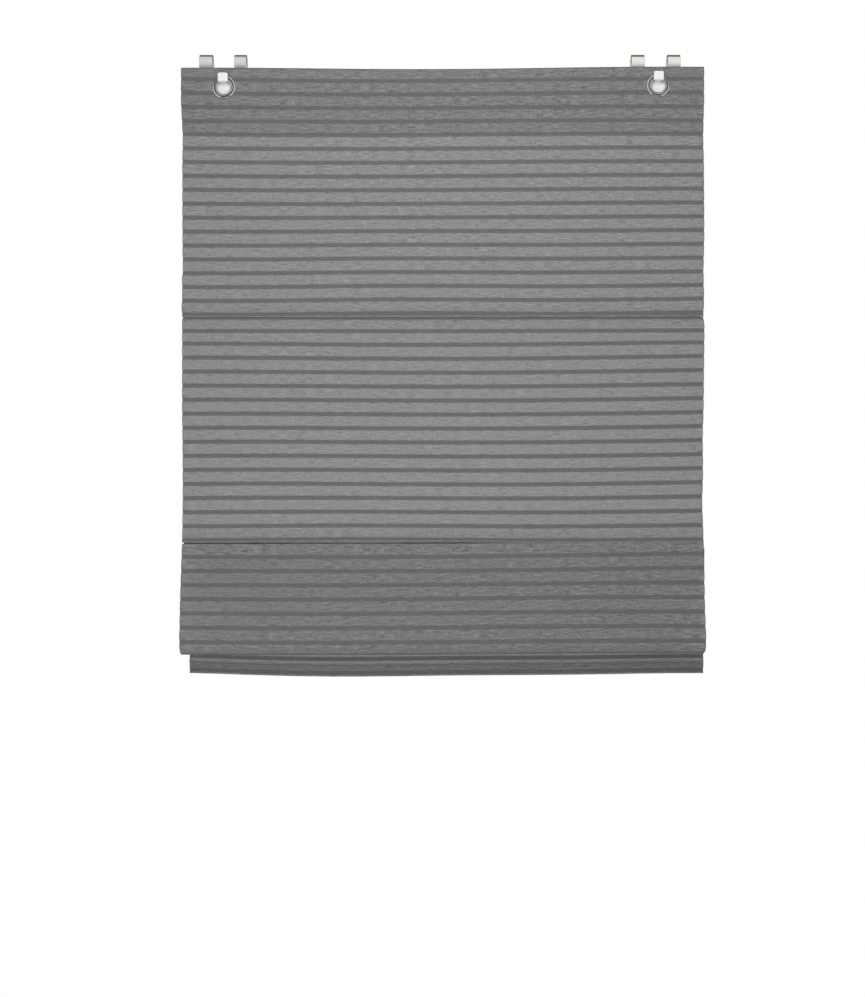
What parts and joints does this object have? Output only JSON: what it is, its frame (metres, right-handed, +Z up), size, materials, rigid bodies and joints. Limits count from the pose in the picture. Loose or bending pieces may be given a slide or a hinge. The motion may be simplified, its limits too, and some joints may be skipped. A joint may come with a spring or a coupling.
{
  "type": "magnetic roll-up blind",
  "caption": "Banded cloth blind hung by eyelets on hooks in strap loops, with magnet rods in its tunnels that hold a lifted fold.",
  "frame": {"origin": "axis of the strap loops, which the curtain rod fills, at the middle of the blind's width", "axes": "+X along the loops to the right as seen from the room, +Y away from the room towards the window, +Z up; the cloth's face looks towards -Y"},
  "size_m": [0.8, 0.0579, 0.9584],
  "materials": {
    "banded_cloth": "mid grey slubby bands between smooth darker stripes",
    "strap_webbing": "cream woven webbing",
    "hook_plastic": "white moulded plastic, satin",
    "eyelet_nickel": "polished nickel",
    "rod_plastic": "white drawn tube",
    "magnet_nickel": "plated magnet",
    "bar_steel": "drawn steel bar",
    "hem_stiffener": "flat plastic strip"
  },
  "bodies": {
    "root": {"fabric_panel": "banded_cloth", "left_eyelet": "eyelet_nickel", "left_eyelet_washer": "eyelet_nickel", "left_hook_plate": "hook_plastic", "left_inner_strap": "strap_webbing", "left_outer_strap": "strap_webbing", "lower_rod_left_cap": "rod_plastic", "lower_rod_left_magnet": "magnet_nickel", "lower_rod_right_cap": "rod_plastic", "lower_rod_right_magnet": "magnet_nickel", "lower_rod_tube": "rod_plastic", "middle_rod_left_cap": "rod_plastic", "middle_rod_left_magnet": "magnet_nickel", "middle_rod_right_cap": "rod_plastic", "middle_rod_right_magnet": "magnet_nickel", "middle_rod_tube": "rod_plastic", "right_eyelet": "eyelet_nickel", "right_eyelet_washer": "eyelet_nickel", "right_hook_plate": "hook_plastic", "right_inner_strap": "strap_webbing", "right_outer_strap": "strap_webbing", "top_stiffener": "hem_stiffener", "upper_rod_left_cap": "rod_plastic", "upper_rod_left_magnet": "magnet_nickel", "upper_rod_right_cap": "rod_plastic", "upper_rod_right_magnet": "magnet_nickel", "upper_rod_tube": "rod_plastic", "weight_bar": "bar_steel"}
  },
  "joints": []
}
